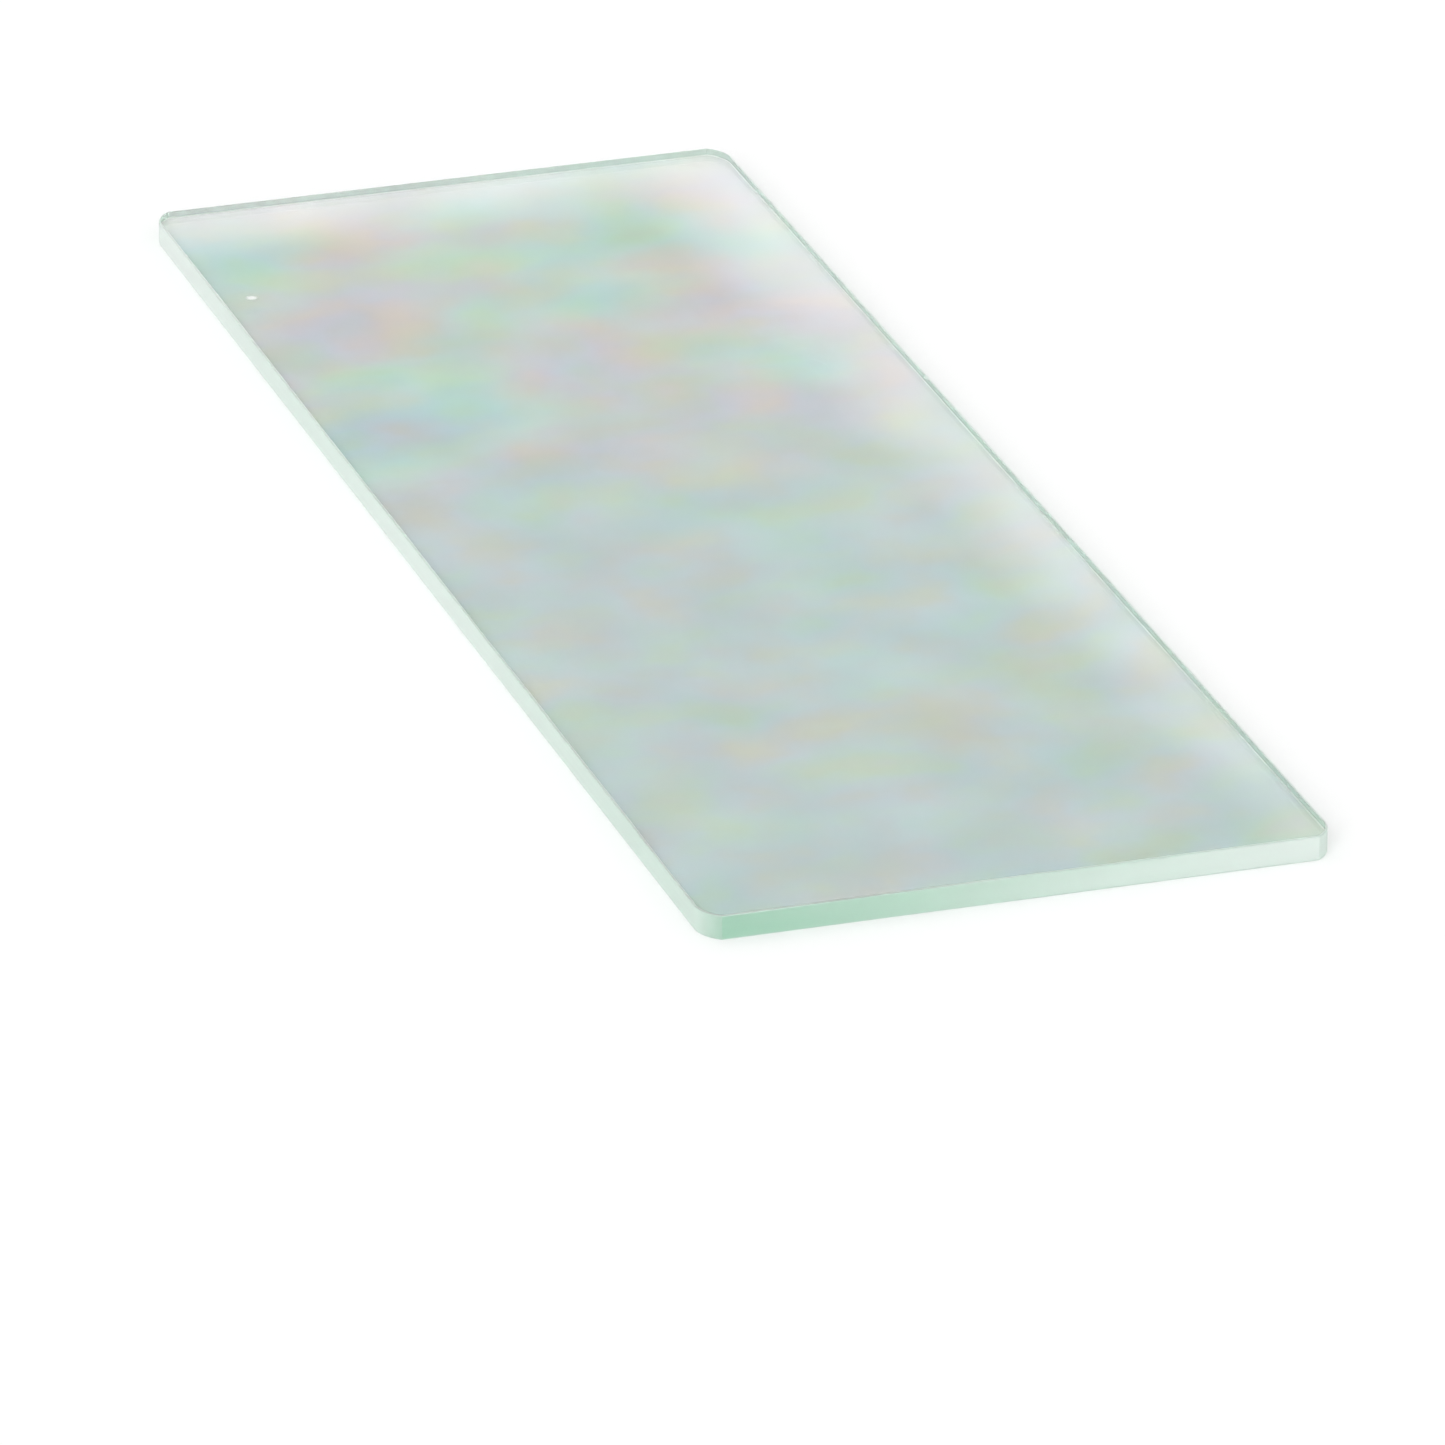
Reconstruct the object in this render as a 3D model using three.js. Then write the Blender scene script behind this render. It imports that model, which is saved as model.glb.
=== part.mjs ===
import * as THREE from 'three';

// A plain microscope slide: one rectangle cut from a sheet of soda-lime glass.
// Its four edges are ground flat, their arrises are broken, and its corners are rounded off so that
// they don't cut a finger or catch in a stage clip.
//
// Units are millimetres. The slide lies on its lower face: X runs across it, Y along it and Z through
// it. The origin is the middle of the lower face.

// Driving dimensions.
const LENGTH = 75;
const WIDTH = 25;
const THICKNESS = 1;
const CORNER_ALONG_SIDE = 1.3;
const CORNER_ALONG_END = 0.7;
const ARRIS = 0.06;

// How finely a corner's arc is divided: an arc gets twice this many straight segments.
const CORNER_DIVISIONS = 6;

// A corner's arc leaves the long side smoothly and meets the end face at a faint upright crease. One
// circle touches the side and passes through that crease. This gives its radius and how far it turns.
function cornerArc(alongSide, alongEnd) {
  const radius = (alongSide ** 2 + alongEnd ** 2) / (2 * alongEnd);
  const turn = Math.atan2(alongSide, radius - alongEnd);
  return { radius, turn };
}

// The slide's outline seen from above, counter-clockwise. Each arc is joined to the next by a straight
// ground edge.
function slideOutline() {
  const { radius, turn } = cornerArc(CORNER_ALONG_SIDE, CORNER_ALONG_END);
  const centreX = WIDTH / 2 - radius;
  const centreY = LENGTH / 2 - CORNER_ALONG_SIDE;
  const outline = new THREE.Shape();
  outline.moveTo(WIDTH / 2, -centreY);
  outline.absarc(centreX, centreY, radius, 0, turn, false);
  outline.absarc(-centreX, centreY, radius, Math.PI - turn, Math.PI, false);
  outline.absarc(-centreX, -centreY, radius, Math.PI, Math.PI + turn, false);
  outline.absarc(centreX, -centreY, radius, 2 * Math.PI - turn, 2 * Math.PI, false);
  return outline;
}

// The extrusion bevels inwards from the outline, so the ground edges stand at the full width and length
// and only the arrises step in.
function slideGeometry() {
  const geometry = new THREE.ExtrudeGeometry(slideOutline(), {
    depth: THICKNESS - 2 * ARRIS,
    bevelEnabled: true,
    bevelThickness: ARRIS,
    bevelSize: ARRIS,
    bevelOffset: -ARRIS,
    bevelSegments: 1,
    curveSegments: CORNER_DIVISIONS,
    steps: 1,
  });
  geometry.translate(0, 0, ARRIS);
  return geometry;
}

const clearGlass = new THREE.MeshStandardMaterial({
  color: 0xd3e6de,
  roughness: 0.08,
  metalness: 0,
  transparent: true,
  opacity: 0.35,
});

const slide = new THREE.Mesh(slideGeometry(), clearGlass);
slide.name = 'glass_slide';

const part = new THREE.Group();
part.add(slide);

export default part;
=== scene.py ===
# %% [markdown]
# # A plain glass microscope slide
# The object is one thin plate of clear glass, cut from a large sheet and ground along its edges.
# It has no parts to fit together, so the whole lesson is about two things: giving a plain plate the
# small shapes that a real one has, and making glass that looks like this glass.
#
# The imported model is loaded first. It fixes the size and place of everything that follows.

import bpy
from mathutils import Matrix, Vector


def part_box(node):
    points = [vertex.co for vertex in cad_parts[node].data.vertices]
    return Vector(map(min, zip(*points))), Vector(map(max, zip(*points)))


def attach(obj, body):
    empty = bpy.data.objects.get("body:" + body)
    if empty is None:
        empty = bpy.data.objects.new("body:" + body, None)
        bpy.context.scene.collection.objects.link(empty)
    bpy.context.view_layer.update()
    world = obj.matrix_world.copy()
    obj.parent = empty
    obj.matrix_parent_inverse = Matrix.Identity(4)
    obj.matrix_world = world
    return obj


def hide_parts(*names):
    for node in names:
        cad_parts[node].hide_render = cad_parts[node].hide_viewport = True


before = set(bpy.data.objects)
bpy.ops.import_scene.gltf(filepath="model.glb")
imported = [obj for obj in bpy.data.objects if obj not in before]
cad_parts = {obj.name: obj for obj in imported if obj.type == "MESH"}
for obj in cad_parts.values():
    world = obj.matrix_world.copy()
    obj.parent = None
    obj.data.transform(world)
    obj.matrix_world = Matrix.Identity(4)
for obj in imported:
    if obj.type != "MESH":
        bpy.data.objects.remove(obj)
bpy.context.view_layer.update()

# %% The other tools
import math

import bmesh
import bpy
from mathutils import Matrix, Vector, noise

MM = 0.001
scene = bpy.context.scene

# %% [markdown]
# ## Sizes
# Length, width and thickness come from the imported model, so the plate always fills its box exactly.
# What is too small to matter to anything but the eye is set here: the rounded corners, and the arris,
# which is the narrow bevel that takes the sharpness off every edge.

# %% Sizes of the plate
slide_low, slide_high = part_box("glass_slide")
width, length, thickness = slide_high - slide_low

CORNER_ALONG_SIDE = 1.3 * MM
CORNER_ALONG_END = 0.7 * MM
CORNER_STEPS = 16
ARRIS = 0.06 * MM

print("plate, mm:", [round(side / MM, 3) for side in (width, length, thickness)])

# %% [markdown]
# ## The blank
# A slide's corners are rounded on a wheel. The round leaves the long side smoothly and meets the end at a
# faint crease, so it is an arc of one circle that touches the side and cuts the end.
#
# The arc could be worked out point by point, but spinning one vertex gives the same arc. It is then
# mirrored into the other three corners and copied to the upper face. The plate is convex everywhere, so
# its whole solid is simply the hull of those eight arcs, and no face has to be written by hand.

# %% Spin one corner, mirror it and take the hull of all eight
def corner_arc():
    """The radius of a corner's circle, and how far round it the corner goes."""
    radius = (CORNER_ALONG_SIDE**2 + CORNER_ALONG_END**2) / (2 * CORNER_ALONG_END)
    return radius, math.atan2(CORNER_ALONG_SIDE, radius - CORNER_ALONG_END)


def blank_plate():
    radius, turn = corner_arc()
    plate = bmesh.new()
    start = Vector((width / 2, length / 2 - CORNER_ALONG_SIDE, slide_low.z))
    bmesh.ops.create_vert(plate, co=start)
    bmesh.ops.spin(
        plate, geom=plate.verts[:], cent=start - Vector((radius, 0, 0)), axis=(0, 0, 1), dvec=(0, 0, 0),
        angle=turn, steps=CORNER_STEPS, use_merge=False, use_duplicate=False,
    )
    for axis in "XY":
        geometry = plate.verts[:] + plate.edges[:]
        bmesh.ops.mirror(plate, geom=geometry, matrix=Matrix(), merge_dist=-1, axis=axis)
    copied = bmesh.ops.duplicate(plate, geom=plate.verts[:] + plate.edges[:])["geom"]
    upper = [item for item in copied if isinstance(item, bmesh.types.BMVert)]
    bmesh.ops.translate(plate, verts=upper, vec=(0, 0, thickness))
    bmesh.ops.convex_hull(plate, input=plate.verts[:])
    bmesh.ops.dissolve_limit(
        plate, angle_limit=math.radians(0.5), verts=plate.verts[:], edges=plate.edges[:],
        use_dissolve_boundaries=False,
    )
    bmesh.ops.recalc_face_normals(plate, faces=plate.faces[:])
    return plate


plate = blank_plate()
print("blank:", len(plate.verts), "vertices,", len(plate.faces), "faces")

# %% [markdown]
# ## Short lengths along the rim
# The next two steps give the arris a hand-made unevenness, and for that the rim needs more points than
# the eight arcs. Subdividing the long straight edges in pairs, top and bottom, cuts each side of the plate
# into short upright strips and leaves the two polished faces as one flat face each.

# %% Divide the straight edges
RIM_STEP = 0.25 * MM
SHORTEST_DIVIDED = 10 * RIM_STEP


def is_level(edge):
    return abs(edge.verts[0].co.z - edge.verts[1].co.z) < ARRIS / 2


long_edges = {}
for edge in plate.edges:
    if is_level(edge) and edge.calc_length() > SHORTEST_DIVIDED:
        long_edges.setdefault(round(edge.calc_length() / RIM_STEP), []).append(edge)
for steps, edges in long_edges.items():
    bmesh.ops.subdivide_edges(plate, edges=edges, cuts=steps - 1, use_grid_fill=True)
print("rim divided into", sum(is_level(edge) for edge in plate.edges) // 2, "lengths")

# %% [markdown]
# ## The arris
# Freshly cut glass would cut a finger, so both rims are dressed with a stone at about 45 degrees. The
# bevel operator does exactly that. Two segments instead of one make the dressed edge slightly round, as
# a stone leaves it.

# %% Bevel both rims
ARRIS_SEGMENTS = 2

bmesh.ops.bevel(
    plate, geom=[edge for edge in plate.edges if is_level(edge)], offset=ARRIS, offset_type="OFFSET",
    affect="EDGES", segments=ARRIS_SEGMENTS, profile=0.5, material=-1,
)
bmesh.ops.recalc_face_normals(plate, faces=plate.faces[:])
print("with its arris:", len(plate.faces), "faces")

# %% [markdown]
# ## Made by hand, not by a ruler
# The stone is pressed a little harder here and lighter there, and now and then a grain of it pulls a
# shell-shaped flake out of the rim. Both only ever take glass away. So each point where the arris meets
# a polished face moves inwards, by a slow wave plus a few narrow peaks of the same kind of noise.
# Noise from mathutils has no seed to set: the same place always gives the same value.

# %% Uneven arris and a few small flakes
ARRIS_DRIFT = 0.03 * MM
DRIFT_LENGTH = 6 * MM
FLAKE_DEPTH = 0.16 * MM
FLAKE_LENGTH = 0.7 * MM
FLAKE_LIMIT = 0.6
FLAKE_SHIFT = Vector((31, 17, 5))
POLISHED_FROM = 0.999


def dressed_away(place):
    """How much wider than its least width the arris is at this place."""
    drift = 0.5 + 0.5 * noise.noise(place / DRIFT_LENGTH)
    flake = max(0.0, noise.noise(place / FLAKE_LENGTH + FLAKE_SHIFT) - FLAKE_LIMIT)
    return ARRIS_DRIFT * drift + FLAKE_DEPTH * flake / (1 - FLAKE_LIMIT)


def is_polished(face):
    return abs(face.normal.z) > POLISHED_FROM


flaked = 0
moves = []
for face in plate.faces:
    if is_polished(face):
        for vert in face.verts:
            outward = sum((other.normal for other in vert.link_faces if not is_polished(other)), Vector())
            outward.z = 0
            moves.append((vert, -outward.normalized() * dressed_away(vert.co)))
            flaked += dressed_away(vert.co) > ARRIS_DRIFT
for vert, move in moves:
    vert.co += move
print("points moved inwards:", len(moves), "of them on a flake:", flaked)

# %% [markdown]
# ## Which faces are ground
# A slide has two kinds of surface. The two large faces are as the float bath left them, flat and
# brilliant. Everything else has been cut and ground, and is matt. One material covers both, because the
# glass inside is one body, and it needs to know which kind of surface it is on. A number stored on each
# face tells it: 0 on the polished faces and 1 on the ground ones.
#
# A second number says how white the grinding is. The long sides are about equally white all along. On the
# ends it also holds painted light: they go from nearly clear at the left corner to white at the right, as
# if lit more from that side. On the corners the two blend, and the arrises are the same all round.
# Slow noise stands for the changing pressure of the stone, so every edge has whiter and clearer lengths.

# %% Store the two numbers and make the object
SIDE_WHITENESS = 0.54
# The ends hold painted light: whiter towards the right, as if lit more from that side.
END_WHITE_SHADED_LEFT = 0.11
END_WHITE_LIT_RIGHT = 0.56
ARRIS_WHITENESS = 0.35
ARRIS_FROM = 0.1
SHARP_FROM = math.radians(15)
PRESSURE_LENGTH = 20 * MM
PRESSURE_CHANGE = 0.17
PRESSURE_SHIFT = Vector((508.27, 272.83, 5))


def whiteness(face):
    """How white the grinding of this face is, from 0 to 1, with painted light on the ends."""
    if abs(face.normal.z) > ARRIS_FROM:
        return ARRIS_WHITENESS
    place = face.calc_center_median()
    # Painted light on the ends: whiter towards the right.
    across = 0.5 + place.x / width
    end_white_and_light = END_WHITE_SHADED_LEFT + (END_WHITE_LIT_RIGHT - END_WHITE_SHADED_LEFT) * across
    even = end_white_and_light + (SIDE_WHITENESS - end_white_and_light) * face.normal.x**2
    return max(0.0, even + PRESSURE_CHANGE * noise.noise(place / PRESSURE_LENGTH + PRESSURE_SHIFT))


for edge in plate.edges:
    edge.smooth = edge.calc_face_angle(0) < SHARP_FROM
ground = plate.faces.layers.float.new("ground")
white = plate.faces.layers.float.new("whiteness")
for face in plate.faces:
    face.smooth = True
    if not is_polished(face):
        face[ground] = 1.0
        face[white] = whiteness(face)

mesh = bpy.data.meshes.new("glass_slide_fine")
plate.to_mesh(mesh)
plate.free()
slide = bpy.data.objects.new("glass_slide_fine", mesh)
scene.collection.objects.link(slide)
print("finished mesh:", len(mesh.vertices), "vertices")

# %% [markdown]
# ## Helpers for materials
# Colours are written as sRGB hex codes, as a picker shows them, but Blender's sockets take linear light.
# One function converts, and one adds a node with its settings and its links.

# %% Colour and node helpers
def linear(code):
    """A colour written as an sRGB hex code, as the linear numbers that a socket takes."""
    parts = [int(code[start:start + 2], 16) / 255 for start in (1, 3, 5)]
    return tuple(p / 12.92 if p <= 0.04045 else ((p + 0.055) / 1.055) ** 2.4 for p in parts) + (1.0,)


def add(tree, kind, inputs=None, **settings):
    """Adds a node. Each input is a plain value or the output that feeds it."""
    node = tree.nodes.new("ShaderNode" + kind)
    for name, value in settings.items():
        setattr(node, name, value)
    for socket, value in (inputs or {}).items():
        if isinstance(value, bpy.types.NodeSocket):
            tree.links.new(value, node.inputs[socket])
        else:
            node.inputs[socket].default_value = value
    return node


def new_material(name):
    material = bpy.data.materials.new(name)
    material.use_nodes = True
    material.node_tree.nodes.clear()
    return material


# %% [markdown]
# ## Painted shade and sheen on the polished faces
# Both polished faces carry painted shade: a pale grey-green tint that makes them darker than clear glass
# on white card. Over it lies painted sheen, faint pastel patches worked out as the colours of films too
# thin to see: light from the top and the bottom of such a film interferes, and how many wavelengths long
# the way through it is decides whether a colour comes out stronger or weaker.
#
# Principled has thin film settings of its own, and they colour the light that comes through the glass
# as well as its reflections. But how strongly they do so follows from the film's index. Here it has to
# be set for each colour, and to change along the slide, so the sheen is painted into the surface colour
# instead. The way through a film is a noise pattern in nanometres, with patches sized in millimetres, and
# each colour gets the cosine of that length over its own wavelength. A pattern's depths say how strongly
# its red, green and blue change.
#
# There are two patterns. The first is thin, strongest at the far end, and with clear colours in broad
# patches. The second is thicker, more uneven and all over, and with paler colours, finely mixed. The
# painted shade turns lighter and both patterns weaken along the back and right edges, and the border on
# the right runs slightly askew, so it is wider at the far end.
#
# The painted shade is also patchy: lighter in some places and darker in others, by the same share for
# all three colours.

# %% Colours of the painted sheen
WAVELENGTHS = {"Red": 630, "Green": 540, "Blue": 460}
SHEEN_STRETCH = 1.2
SHEEN_UNEVENNESS = 0.5


def painted_sheen_colour(tree, place, strength, depths, path, spread, patch, detail, shift):
    """One pattern of painted sheen: how much of each colour it lets by, as a colour around white."""
    moved = add(tree, "Mapping", {"Vector": place, "Location": shift, "Scale": (1 / SHEEN_STRETCH, 1, 1)})
    patches = add(tree, "TexNoise", {
        "Vector": moved.outputs[0], "Scale": 1 / patch, "Detail": detail, "Roughness": SHEEN_UNEVENNESS,
    })
    path_length = add(tree, "MapRange", {
        "Value": patches.outputs[0], "To Min": path - spread / 2, "To Max": path + spread / 2,
    })
    shares = {}
    for (name, wavelength), depth in zip(WAVELENGTHS.items(), depths):
        turned = add(tree, "Math", {
            0: path_length.outputs[0], 1: math.tau / wavelength,
        }, operation="MULTIPLY")
        wave = add(tree, "Math", {0: turned.outputs[0]}, operation="COSINE")
        scaled = add(tree, "Math", {0: wave.outputs[0], 1: strength}, operation="MULTIPLY")
        share = add(tree, "Math", {0: scaled.outputs[0], 1: depth, 2: 1.0}, operation="MULTIPLY_ADD")
        shares[name] = share.outputs[0]
    return add(tree, "CombineColor", shares).outputs[0]


# %% Both sheen patterns, and where the painted shade and sheen lie
# Painted sheen: two patterns of interference colours.
SHEEN_PATTERNS = {
    "broad_sheen": {
        "path": 1200, "spread": 1700, "patch": 11 * MM, "detail": 3.0, "shift": (200 * MM, 30 * MM, 0),
        "depths": (0.074, 0.034, 0.012),
    },
    "fine_sheen": {
        "path": 2300, "spread": 1500, "patch": 3.6 * MM, "detail": 6.0, "shift": (140 * MM, 290 * MM, 0),
        "depths": (0.074, 0.034, 0.125),
    },
}
BROAD_SHEEN_STRENGTH = (0.25, 1.2)
BROAD_SHEEN_FROM = 0.0
BROAD_SHEEN_TO = 14 * MM
FINE_SHEEN_STRENGTH = 0.58
# Where the painted shade turns lighter and the painted sheen weakens, along the back and right edges.
PAINT_FADE_BORDERS = {
    "X": (width / 2 - 4.5 * MM, width / 2 + 0.7 * MM),
    "Y": (length / 2 - 6 * MM, length / 2 - 0.5 * MM),
}
BORDER_SKEW = 0.042
# Patches of painted shade: the face is dimmed a little more in some places than in others.
SHADE_PATCH_SIZE = 4.5 * MM
SHADE_PATCH_CHANGE = 0.2
SHADE_PATCH_DETAIL = 5.0
SHADE_PATCH_ROUGHNESS = 0.4


def painted_cover_mask(tree, axes):
    """1 where the painted shade and sheen are full, falling to 0 along the back and right edges."""
    skewed = add(tree, "Math", {0: axes["Y"], 1: BORDER_SKEW, 2: axes["X"]}, operation="MULTIPLY_ADD")
    measured = {"X": skewed.outputs[0], "Y": axes["Y"]}
    painted_cover = 1.0
    for axis, (inner, outer) in PAINT_FADE_BORDERS.items():
        along = add(tree, "MapRange", {
            "Value": measured[axis], "From Min": inner, "From Max": outer, "To Min": 1.0, "To Max": 0.0,
        })
        painted_cover = add(tree, "Math", {0: along.outputs[0], 1: painted_cover}, operation="MULTIPLY").outputs[0]
    return painted_cover


def shade_patches(tree, place):
    """Patchy painted shade: a little more than 1 in some places, less in others."""
    patches = add(tree, "TexNoise", {
        "Vector": place, "Scale": 1 / SHADE_PATCH_SIZE, "Detail": SHADE_PATCH_DETAIL, "Roughness": SHADE_PATCH_ROUGHNESS,
    })
    return add(tree, "MapRange", {
        "Value": patches.outputs[0], "To Min": 1 - SHADE_PATCH_CHANGE / 2, "To Max": 1 + SHADE_PATCH_CHANGE / 2,
    }).outputs[0]


def broad_sheen_strength(tree, axes):
    """How strong the broad painted sheen is, from faint at the near end to full at the far end."""
    weak, full = BROAD_SHEEN_STRENGTH
    return add(tree, "MapRange", {
        "Value": axes["Y"], "From Min": BROAD_SHEEN_FROM, "From Max": BROAD_SHEEN_TO, "To Min": weak, "To Max": full,
    }, interpolation_type="SMOOTHSTEP").outputs[0]


# %% [markdown]
# ## The ground edges
# A grinding wheel runs along the edge, so its scratches are long and thin and lie parallel to the faces.
# Real ones are a few hundredths of a millimetre high, which is too fine to show, so they are drawn about
# three times as coarse. Each scratch is a little whiter and a little rougher than the glass beside it.
#
# The far end of the upper face also has one small white spot, a painted glint.

# %% Grinding marks and the painted glint
SCRATCH_LENGTH = 4 * MM
SCRATCH_HEIGHT = 0.12 * MM
SCRATCH_DETAIL = 3.0
SCRATCH_UNEVENNESS = 0.6
SCRATCH_RANGE = (0.3, 0.7)
SCRATCH_WHITENESS = 0.24
GROUND_ROUGHNESS = (0.40, 0.60)
# The painted glint: a small white spot near the far end of the upper face.
GLINT_PLACE = (-11.2 * MM, 27.1 * MM, slide_high.z)
GLINT_RADIUS = 0.32 * MM
GLINT_CORE = GLINT_RADIUS / 3
GLINT_WHITENESS = 0.8
GLINT_TINT = "#ffffff"


def scratches(tree, place):
    """Long thin streaks, as a number that is mostly inside SCRATCH_RANGE."""
    along = 1 / SCRATCH_LENGTH
    stretched = add(tree, "Mapping", {"Vector": place, "Scale": (along, along, 1 / SCRATCH_HEIGHT)})
    streaks = add(tree, "TexNoise", {
        "Vector": stretched.outputs[0], "Scale": 1.0, "Detail": SCRATCH_DETAIL,
        "Roughness": SCRATCH_UNEVENNESS,
    })
    return streaks.outputs[0]


def painted_glint(tree, place):
    """The white of the painted glint, falling to 0 at its rim."""
    away = add(tree, "VectorMath", {0: place, 1: GLINT_PLACE}, operation="DISTANCE")
    return add(tree, "MapRange", {
        "Value": away.outputs["Value"], "From Min": GLINT_CORE, "From Max": GLINT_RADIUS,
        "To Min": GLINT_WHITENESS, "To Max": 0.0,
    }).outputs[0]


# %% [markdown]
# ## The glass
# Soda-lime float glass has an index of 1.52. Looked at through its face it is almost clear, and looked
# at through its edge it is green, because a little iron in it takes red light away over a long path.
# A tinted surface can't do that, so the green comes from a Volume Absorption inside the plate. Its
# three numbers say how strongly the glass absorbs red, green and blue, per metre.
#
# To the eye the polished faces are mirror smooth, carrying painted grey-green shade and painted pastel
# sheen, and the ground ones are a pale satin. Where the grinding is white, less light is let through and
# more is scattered back, and that is what Transmission Weight below 1 does.

# %% The glass material
ABSORBED = (9.3, 2.7, 6.0)
DENSITY = 20.0
GLASS_INDEX = 1.52
# Painted shade: a grey-green tint over the polished faces, lighter at the back and right borders.
FACE_SHADE_TINT = "#d0d9d4"
BORDER_SHADE_TINT = "#eceeed"
BORDER_SHEEN_STRENGTH = 0.35
EDGE_TINT = "#fafcfb"

glass = new_material("soda_lime_float_glass_with_ground_edges")
tree = glass.node_tree
place = add(tree, "TexCoord").outputs["Object"]
axes = add(tree, "SeparateXYZ", {0: place}).outputs
on_edge = add(tree, "Attribute", attribute_name="ground").outputs["Fac"]
edge_white = add(tree, "Attribute", attribute_name="whiteness").outputs["Fac"]

painted_cover = painted_cover_mask(tree, axes)
strengths = {"broad_sheen": broad_sheen_strength(tree, axes), "fine_sheen": FINE_SHEEN_STRENGTH}
# Painted shade over the polished faces, lighter towards the back and right edges.
colour = add(tree, "Mix", {
    0: painted_cover, 6: linear(BORDER_SHADE_TINT), 7: linear(FACE_SHADE_TINT),
}, data_type="RGBA").outputs[2]
depth = add(tree, "MapRange", {"Value": painted_cover, "To Min": BORDER_SHEEN_STRENGTH, "To Max": 1.0}).outputs[0]
# Painted sheen: both interference-colour patterns multiplied over the painted shade.
for name, sheen_settings in SHEEN_PATTERNS.items():
    strength = add(tree, "Math", {0: depth, 1: strengths[name]}, operation="MULTIPLY").outputs[0]
    colour = add(tree, "Mix", {
        0: 1.0, 6: colour, 7: painted_sheen_colour(tree, place, strength, **sheen_settings),
    }, data_type="RGBA", blend_type="MULTIPLY").outputs[2]
# Patchy painted shade, the same share for all three colours.
colour = add(tree, "VectorMath", {0: colour, 1: shade_patches(tree, place)}, operation="MULTIPLY").outputs[0]
colour = add(tree, "Mix", {0: on_edge, 6: colour, 7: linear(EDGE_TINT)}, data_type="RGBA").outputs[2]
# Painted glint: a small white spot near the far end of the upper face.
glint = painted_glint(tree, place)
colour = add(tree, "Mix", {0: glint, 6: colour, 7: linear(GLINT_TINT)}, data_type="RGBA").outputs[2]

streaks = scratches(tree, place)
uneven = add(tree, "MapRange", {
    "Value": streaks, "To Min": -SCRATCH_WHITENESS / 2, "To Max": SCRATCH_WHITENESS / 2,
}).outputs[0]
ground_white = add(tree, "Math", {0: edge_white, 1: uneven}, operation="ADD", use_clamp=True).outputs[0]
white = add(tree, "Mix", {0: on_edge, 2: glint, 3: ground_white}).outputs[0]
clear = add(tree, "Math", {0: 1.0, 1: white}, operation="SUBTRACT").outputs[0]

ground_rough = add(tree, "MapRange", {
    "Value": streaks, "From Min": SCRATCH_RANGE[0], "From Max": SCRATCH_RANGE[1],
    "To Min": GROUND_ROUGHNESS[0], "To Max": GROUND_ROUGHNESS[1],
}).outputs[0]
roughness = add(tree, "Math", {0: on_edge, 1: ground_rough}, operation="MULTIPLY").outputs[0]

surface = add(tree, "BsdfPrincipled", {
    "Base Color": colour, "Roughness": roughness, "IOR": GLASS_INDEX, "Transmission Weight": clear,
})
body = add(tree, "VolumeAbsorption", {
    "Color": tuple(1 - rate / DENSITY for rate in ABSORBED) + (1.0,),
    "Density": DENSITY,
})
add(tree, "OutputMaterial", {"Surface": surface.outputs[0], "Volume": body.outputs[0]})
slide.data.materials.append(glass)
print("glass nodes:", len(tree.nodes))

# %% [markdown]
# ## The table
# A plain white card, large enough to fill the view from any side. The camera and the glass see it as
# pure white, and as a source of bounced light it is a normal white card.

# %% White card
CARD_SIZE = 4.0
AIR_GAP = 0.01 * MM
CARD_BOUNCE = 0.8

sheet = bmesh.new()
bmesh.ops.create_grid(sheet, x_segments=1, y_segments=1, size=CARD_SIZE / 2)
bmesh.ops.translate(sheet, verts=sheet.verts[:], vec=(0, 0, slide_low.z - AIR_GAP))
card_mesh = bpy.data.meshes.new("card")
sheet.to_mesh(card_mesh)
sheet.free()
card = bpy.data.objects.new("card", card_mesh)
scene.collection.objects.link(card)


def seen_directly(tree):
    """1 for a ray from the camera, off a mirror or out of glass, and 0 for light that only bounces."""
    ray = add(tree, "LightPath").outputs
    plain = add(tree, "Math", {0: ray["Is Camera Ray"], 1: ray["Is Glossy Ray"]}, operation="MAXIMUM")
    return add(tree, "Math", {
        0: plain.outputs[0], 1: ray["Is Transmission Ray"],
    }, operation="MAXIMUM").outputs[0]


paper = new_material("white_card")
tree = paper.node_tree
brightness = add(tree, "MapRange", {"Value": seen_directly(tree), "To Min": CARD_BOUNCE, "To Max": 1.0})
surface = add(tree, "BsdfDiffuse", {"Color": brightness.outputs[0]})
add(tree, "OutputMaterial", {"Surface": surface.outputs[0]})
card_mesh.materials.append(paper)

# %% [markdown]
# ## Light
# A white sky gives most of the light, and one soft lamp at the front left gives the rest. The sky alone
# would leave almost no shadow. The lamp is of the sun kind, because that lights the whole card evenly,
# and its wide angle makes the shadow's edge as soft as a studio light's. The two shares add up to about
# 1, and at that level white paper renders as white.

# %% Sky and lamp
SKY_SHARE = 0.86
LAMP_SHARE = 0.16
LAMP_PLACE = Vector((-0.6, -0.85, 0.55))
LAMP_ANGLE = math.radians(38)

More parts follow.
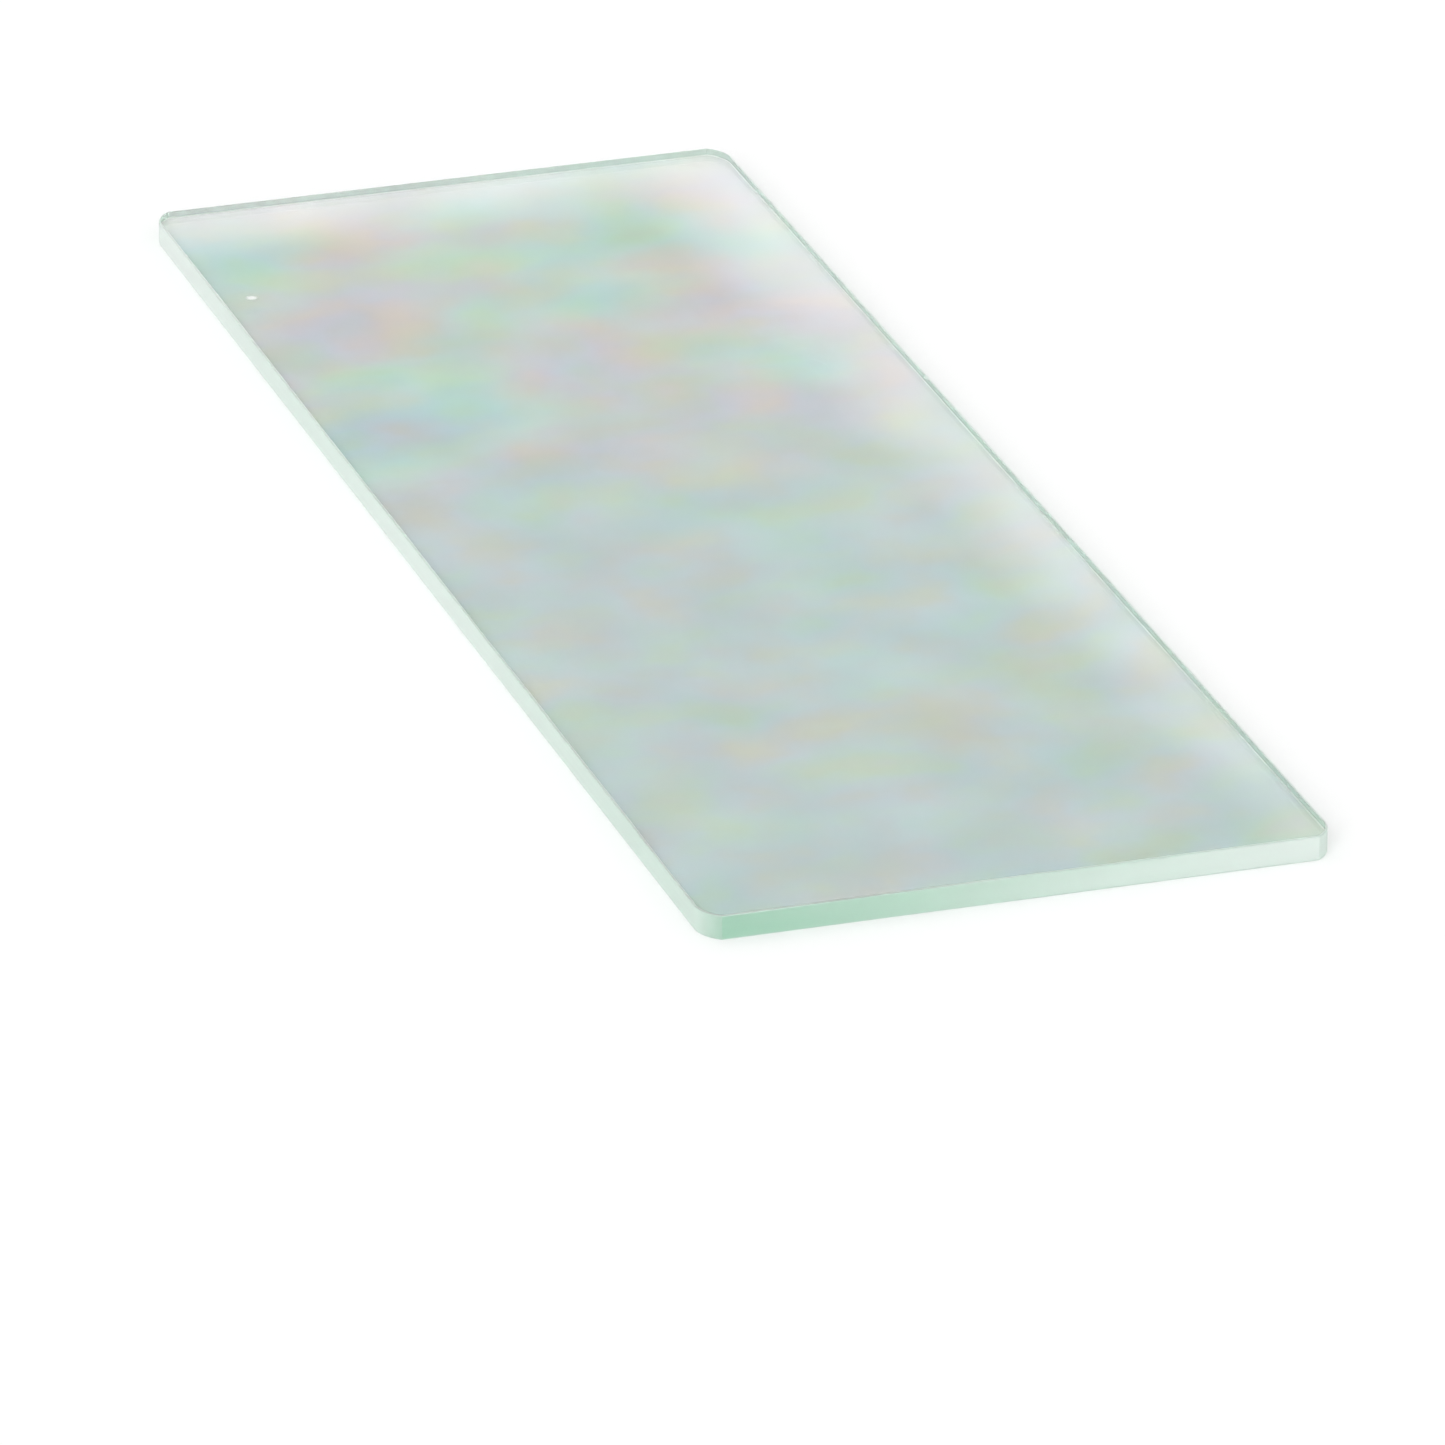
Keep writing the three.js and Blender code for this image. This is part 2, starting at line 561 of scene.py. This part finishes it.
sky = bpy.data.worlds.new("white_sky")
scene.world = sky
sky.use_nodes = True
tree = sky.node_tree
tree.nodes.clear()
strength = add(tree, "MapRange", {"Value": seen_directly(tree), "To Min": SKY_SHARE, "To Max": 1.0})
light = add(tree, "Background", {"Color": (1, 1, 1, 1), "Strength": strength.outputs[0]})
add(tree, "OutputWorld", {"Surface": light.outputs[0]})

slope = LAMP_PLACE.z / LAMP_PLACE.length
lamp = bpy.data.lights.new("soft_lamp", "SUN")
lamp.angle = LAMP_ANGLE
lamp.energy = LAMP_SHARE * math.pi / slope
holder = bpy.data.objects.new("soft_lamp", lamp)
holder.location = LAMP_PLACE
holder.rotation_euler = LAMP_PLACE.to_track_quat("Z", "Y").to_euler()
scene.collection.objects.link(holder)
print("light on the card:", SKY_SHARE + LAMP_SHARE, "lamp:", round(lamp.energy, 2))

# %% [markdown]
# ## Camera
# A long lens a little over half a metre away, somewhat left of the front and looking down at the face.

# %% Camera
AZIMUTH = math.radians(-17.95)
ELEVATION = math.radians(23.54)
DISTANCE = 569.2 * MM
LENS = 355.4
AIM = Vector((0.33 * MM, -0.1 * MM, thickness - 9.3 * MM))

towards_camera = Vector((
    math.sin(AZIMUTH) * math.cos(ELEVATION),
    -math.cos(AZIMUTH) * math.cos(ELEVATION),
    math.sin(ELEVATION),
))
camera_data = bpy.data.cameras.new("camera")
camera_data.lens = LENS
camera_data.clip_start = 0.01
camera_data.clip_end = 10
camera = bpy.data.objects.new("camera", camera_data)
camera.location = AIM + towards_camera * DISTANCE
camera.rotation_euler = (-towards_camera).to_track_quat("-Z", "Y").to_euler()
scene.collection.objects.link(camera)
scene.camera = camera

# %% Render settings that glass needs
LIGHT_BOUNCES = 64

scene.view_settings.view_transform = "Standard"
scene.cycles.max_bounces = LIGHT_BOUNCES
scene.cycles.transmission_bounces = LIGHT_BOUNCES
scene.cycles.glossy_bounces = LIGHT_BOUNCES
scene.cycles.blur_glossy = 0.0

# %% Hand over
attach(slide, "root")
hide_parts("glass_slide")
